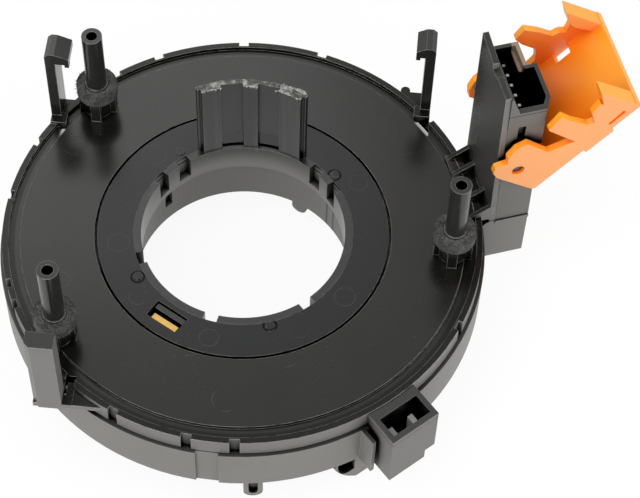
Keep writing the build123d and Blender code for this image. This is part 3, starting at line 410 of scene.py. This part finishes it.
def bits_tree():
    """Small pointed bits standing along edges, each turned and sized at random."""
    tree = bpy.data.node_groups.new("bits_along_edges", "GeometryNodeTree")
    sockets = (("Edges", "Geometry", None), ("Bits per edge", "Int", 40), ("Bit length", "Float", 0.0005),
               ("Bit width", "Float", 0.0001), ("Spread", "Float", 0.0001), ("Finish", "Material", None))
    for name, kind, start in sockets:
        made = tree.interface.new_socket(name=name, in_out="INPUT", socket_type="NodeSocket" + kind)
        if start is not None:
            made.default_value = start
    tree.interface.new_socket(name="Bits", in_out="OUTPUT", socket_type="NodeSocketGeometry")
    works = Workings(tree)
    entry = works.node("NodeGroupInput").socket.node
    given = {socket[0]: Value(works, entry.outputs[socket[0]]) for socket in sockets}

    def random(low, high, seed):
        return works.node("FunctionNodeRandomValue", {"data_type": "FLOAT_VECTOR"},
                          {"Min": (low,) * 3, "Max": (high,) * 3, "Seed": seed})

    points = works.node("GeometryNodeCurveToPoints", {"mode": "COUNT"}, {
        "Curve": works.node("GeometryNodeMeshToCurve", (), {"Mesh": given["Edges"]}),
        "Count": given["Bits per edge"]})
    shift = works.node("ShaderNodeVectorMath", {"operation": "SCALE"},
                       {"Vector": random(-1.0, 1.0, 11), "Scale": given["Spread"]})
    points = works.node("GeometryNodeSetPosition", (), {"Geometry": points, "Offset": shift})
    bit = works.node("GeometryNodeMeshCone", {"fill_type": "TRIANGLE_FAN"}, {
        "Vertices": 3, "Radius Bottom": given["Bit width"], "Depth": given["Bit length"]})
    bits = works.node("GeometryNodeInstanceOnPoints", (), {
        "Points": points, "Instance": bit, "Rotation": random(-3.1, 3.1, 23), "Scale": random(0.35, 1.2, 37)})
    bits = works.node("GeometryNodeRealizeInstances", (), {"Geometry": bits})
    bits = works.node("GeometryNodeSetMaterial", (), {"Geometry": bits, "Material": given["Finish"]})
    works.node("NodeGroupOutput", (), {"Bits": bits})
    return tree


bits_along_edges = bits_tree()


def bits_on(name, edges, sizes, finish, body):
    """A plain mesh of bits along the edges (lists of points), riding on a body."""
    points = [point for edge in edges for point in edge]
    joins = []
    for edge in edges:
        start = points.index(edge[0])
        joins += [(start + step, start + step + 1) for step in range(len(edge) - 1)]
    mesh = bpy.data.meshes.new(name)
    mesh.from_pydata(points, joins, [])
    piece = bpy.data.objects.new(name, mesh)
    bpy.context.scene.collection.objects.link(piece)
    grown = piece.modifiers.new("bits", "NODES")
    grown.node_group = bits_along_edges
    for item in bits_along_edges.interface.items_tree:
        if item.in_out == "INPUT" and item.name in sizes:
            grown[item.identifier] = sizes[item.name]
        elif item.in_out == "INPUT" and item.name == "Finish":
            grown[item.identifier] = finish.material
    ready = piece.evaluated_get(bpy.context.evaluated_depsgraph_get())
    piece.data = bpy.data.meshes.new_from_object(ready)
    piece.modifiers.clear()
    piece.data.name = name
    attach(piece, body)


def arc(radius, height, start, end, x=0.0, y=0.0, steps=24):
    """Points on a level arc about (x, y), from one angle to another in degrees."""
    turns = [radians(start + (end - start) * step / steps) for step in range(steps + 1)]
    return [(x + radius * cos(turn), y + radius * sin(turn), height) for turn in turns]


burr = Finish("burr", (0.4, 0.4, 0.37), 0.6)
fray = burr.noise(1200, 3)
burr.set(Base_Color=burr.blend(fray, (0.12, 0.12, 0.11), (0.75, 0.75, 0.7)), Roughness=0.45 + fray * 0.3)
end_turn = radians(collar_from)
end_edge = [(collar_outer * cos(end_turn), collar_outer * sin(end_turn), collar_top - drop / 1000)
            for drop in range(10)]
burr_edges = [
    arc(collar_inner, collar_top, collar_from, collar_from + 15),
    arc(collar_outer, collar_top, collar_from, collar_from + 12),
    arc(collar_inner, collar_top, 68, 74, steps=8),
    arc(collar_inner, collar_top, collar_to - 11, collar_to),
    end_edge,
]
bits_on("collar_burrs", burr_edges, {"Bits per edge": 34, "Bit length": 0.0006, "Bit width": 0.00012,
                                     "Spread": 0.00012}, burr, "rotor")

# Washers: soft fibre washers pushed over the posts, grey-black, fraying at their edges.
washer_grey = Finish("washer_grey", (0.05, 0.05, 0.045), 0.85)
fleck = washer_grey.noise(2800, 5, 0.7)
patch = washer_grey.noise(500, 3)
washer_grey.set(Base_Color=washer_grey.node("ShaderNodeValToRGB", {"stops": (
    (0.43, (0.008, 0.008, 0.007)), (0.62, (0.12, 0.122, 0.112)))}, {"Fac": fleck * 0.7 + patch * 0.3}))
washer_grey.emboss(fleck * 0.8 + patch, 1.0, 0.0004)
fibre_edges = []
for washer in ("post_washer_1", "post_washer_2", "post_washer_3"):
    dress(washer, washer_grey)
    low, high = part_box(washer)
    middle_x, middle_y = (low[0] + high[0]) / 2, (low[1] + high[1]) / 2
    washer_radius = (high[0] - low[0]) / 2
    for level in (low[2] + 0.0001, (low[2] + high[2]) / 2, high[2] - 0.0001):
        fibre_edges.append(arc(washer_radius - 0.0001, level, 0, 359, middle_x, middle_y))
bits_on("washer_fibres", fibre_edges, {"Bits per edge": 190, "Bit length": 0.0008, "Bit width": 0.00008,
                                       "Spread": 0.00018}, washer_grey, "stator")

# Lock lever: orange moulded plastic, satin and slightly translucent, paler where it is rubbed,
# and along its edges paler as a painted highlight. Its front faces are painted tan as painted
# light, and its inner corner, found by occlusion, redder as painted shade.
lever_orange = Finish("lever_orange", (1.0, 0.34, 0.014), 0.34)
cloud = lever_orange.noise(120, 4)
rubbed = lever_orange.stretch(0.62, 0.75, lever_orange.noise(700, 4, 0.7))
# Painted highlight: the lever's edges are painted paler.
edge = lever_orange.edges(0.00025)
orange = lever_orange.blend(cloud, (0.97, 0.3, 0.008), (1.0, 0.39, 0.016))
orange = lever_orange.blend((rubbed * 0.15 + edge * 0.35).at_most(1.0), orange, (1.0, 0.52, 0.12))
# Painted light: faces towards the front painted tan.
front_faces_lit = lever_orange.stretch(0.5, 0.9, 0.0 - lever_orange.facing("Y"))
orange = lever_orange.blend(front_faces_lit * 0.8, orange, (0.66, 0.28, 0.11))
# Painted shade: the inner corner, found by occlusion, painted redder.
painted_bounce_shade = lever_orange.stretch(0.8, 0.3, lever_orange.open_to_light(0.022))
orange = lever_orange.blend(painted_bounce_shade * 0.85, orange, (1.0, 0.17, 0.003))
lever_orange.set(Base_Color=orange, Roughness=0.28 + cloud * 0.14 + rubbed * 0.1)
lever_orange.shader.inputs["Subsurface Weight"].default_value = 0.25
lever_orange.shader.inputs["Subsurface Radius"].default_value = (0.0012, 0.0005, 0.0001)
lever_orange.emboss(lever_orange.noise(1400, 3), 0.25, 0.00005)
dress("lock_lever", lever_orange)

# Contacts: tinned pins, painted dark along their bodies as painted shade and paler at their tips as
# a painted highlight; tin blades painted dull grey as painted shade, with a painted highlight round
# their edges; and a plain brass strip. They are stamped from strip and pressed into their housings.
tinned = Finish("tinned", (0.5, 0.5, 0.48), 0.35)
tinned.shader.inputs["Metallic"].default_value = 1.0
wear = tinned.noise(1800, 4)
pin_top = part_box("main_pins")[1][2]
# Painted highlight at the pins' tips; below them the pins are painted dark as shade.
tip_highlight = tinned.within([("Z", pin_top - 0.0003, pin_top - 0.0001)])
tinned.set(Base_Color=tinned.blend(tip_highlight, tinned.blend(wear, (0.08, 0.078, 0.074), (0.2, 0.196, 0.19)),
                                   (0.3, 0.295, 0.28)), Roughness=0.3 + wear * 0.25)
tinned.emboss(wear, 0.3, 0.00004)
for contact in ("main_pins", "wheel_pins", "squib_pins"):
    dress(contact, tinned)

# Painted shade: the blades painted dull grey.
shaded_tin = Finish("shaded_dull_tin", (0.3, 0.3, 0.29), 0.5)
smear = shaded_tin.noise(1500, 4)
# Painted highlight: the blades' edges painted pale.
rim_highlight = shaded_tin.edges(0.00018)
shaded_tin.set(Base_Color=shaded_tin.blend(rim_highlight * 0.6, shaded_tin.blend(smear, (0.3, 0.3, 0.29), (0.42, 0.42, 0.4)),
                                   (0.7, 0.7, 0.67)), Roughness=0.4 + smear * 0.25)
shaded_tin.emboss(smear, 0.3, 0.00004)
dress("two_pin_blades", shaded_tin)

brass = Finish("brass", (0.62, 0.4, 0.1), 0.3)
brass.shader.inputs["Metallic"].default_value = 1.0
tarnish = brass.noise(700, 5, 0.65)
brass.set(Base_Color=brass.blend(tarnish, (0.36, 0.21, 0.05), (0.72, 0.48, 0.15)),
          Roughness=0.26 + tarnish * 0.3)
brass.emboss(tarnish, 0.4, 0.00006)
dress("inner_terminal", brass)

# Ribbon and slip sheets: a flat polyester ribbon with copper tracks, wound in the case between
# two white sheets that let it slide.
ribbon = Finish("ribbon", (0.45, 0.3, 0.12), 0.35)
track = ribbon.stretch(0.35, 0.4, ribbon.node("ShaderNodeTexWave", {"bands_direction": "Z"}, {
    "Vector": ribbon.place, "Scale": 90.0, "Distortion": 0.0}, "Fac"))
ribbon.set(Base_Color=ribbon.blend(track, (0.42, 0.3, 0.14), (0.6, 0.32, 0.16)),
           Roughness=0.3 + ribbon.noise(400) * 0.2)
dress("flat_cable", ribbon)
sheet = Finish("slip_sheet", (0.75, 0.75, 0.72), 0.45)
smudge = sheet.noise(250, 4)
sheet.set(Base_Color=sheet.blend(smudge, (0.68, 0.68, 0.65), (0.8, 0.8, 0.77)),
          Roughness=0.35 + smudge * 0.2)
dress("lower_slip_sheet", sheet)
dress("upper_slip_sheet", sheet)

# Table, room, lights and camera: a plain white table in a white room, soft lights at the left,
# at the right and above, and a weak one behind. To the camera and in gloss both show as white.
rest_height = cad_box[0][2]
table_reach = 3.0
floor_share = 0.92
room_strength = 0.45


def shown_white(works, shader, share):
    """A share of plain white mixed in where the camera or gloss looks at the room."""
    path = works.node("ShaderNodeLightPath", output="Is Camera Ray")
    rays = [Value(works, path.socket.node.outputs[name]) for name in ("Is Glossy Ray", "Is Transmission Ray")]
    seen = path.at_least(rays[0]).at_least(rays[1])
    white = works.node("ShaderNodeEmission", (), {"Strength": 1.0})
    return works.node("ShaderNodeMixShader", (), {"Fac": seen * share, "Shader": shader, "Shader_001": white})


corners = [(x * table_reach, y * table_reach, rest_height) for x, y in ((-1, -1), (1, -1), (1, 1), (-1, 1))]
floor_mesh = bpy.data.meshes.new("floor")
floor_mesh.from_pydata(corners, [], [(0, 1, 2, 3)])
floor = bpy.data.objects.new("floor", floor_mesh)
bpy.context.scene.collection.objects.link(floor)
floor_white = Finish("floor_white", (0.9, 0.9, 0.9), 1.0)
floor_shown = shown_white(floor_white, Value(floor_white, floor_white.shader.outputs[0]), floor_share)
floor_white.tree.links.new(floor_shown.socket, floor_white.tree.nodes["Material Output"].inputs["Surface"])
floor_mesh.materials.append(floor_white.material)

world = bpy.data.worlds.new("room")
world.use_nodes = True
bpy.context.scene.world = world
room = Workings(world.node_tree)
background = room.tree.nodes["Background"]
background.inputs["Color"].default_value = (1, 1, 1, 1)
background.inputs["Strength"].default_value = room_strength
room_shown = shown_white(room, Value(room, background.outputs[0]), 1.0)
room.tree.links.new(room_shown.socket, room.tree.nodes["World Output"].inputs["Surface"])

drum_middle = Vector((0.0, 0.0, 0.008))


def soft_light(name, azimuth, elevation, distance, width, power):
    """A square soft light looking at the drum from an azimuth, counted as the camera's is."""
    lamp = bpy.data.lights.new(name, "AREA")
    lamp.shape = "SQUARE"
    lamp.size = width
    lamp.energy = power
    light = bpy.data.objects.new(name, lamp)
    bpy.context.scene.collection.objects.link(light)
    across, up = radians(azimuth), radians(elevation)
    towards = Vector((sin(across) * cos(up), -cos(across) * cos(up), sin(up)))
    light.location = drum_middle + towards * distance
    light.rotation_euler = towards.to_track_quat("Z", "Y").to_euler()


soft_light("front_light", -42, 25, 0.7, 0.6, 2.8)
soft_light("top_light", -60, 70, 0.8, 0.5, 2.6)
soft_light("right_light", 58, 22, 0.7, 0.5, 2.8)
soft_light("back_light", 180, 46, 0.8, 0.36, 0.6)

view_azimuth = radians(-17.0)
view_elevation = radians(56.752)
view_roll = radians(2.418)
view_target = Vector((0.016973, -0.003209, 0.008))
view_distance = 0.466745
view_lens_pixels = 2066.84
photo_width = 640
back = Vector((sin(view_azimuth) * cos(view_elevation), -cos(view_azimuth) * cos(view_elevation),
               sin(view_elevation)))
right = Vector((0, 0, 1)).cross(back).normalized()
up = back.cross(right)
turned_right = right * cos(view_roll) + up * sin(view_roll)
turned_up = up * cos(view_roll) - right * sin(view_roll)
camera = bpy.data.objects.new("camera", bpy.data.cameras.new("camera"))
bpy.context.scene.collection.objects.link(camera)
camera.data.sensor_width = 36.0
camera.data.lens = view_lens_pixels / photo_width * camera.data.sensor_width
camera.data.clip_start = 0.01
camera.matrix_world = (Matrix.Translation(view_target + back * view_distance)
                       @ Matrix((turned_right, turned_up, back)).transposed().to_4x4())
bpy.context.scene.camera = camera
bpy.context.scene.view_settings.view_transform = "Standard"
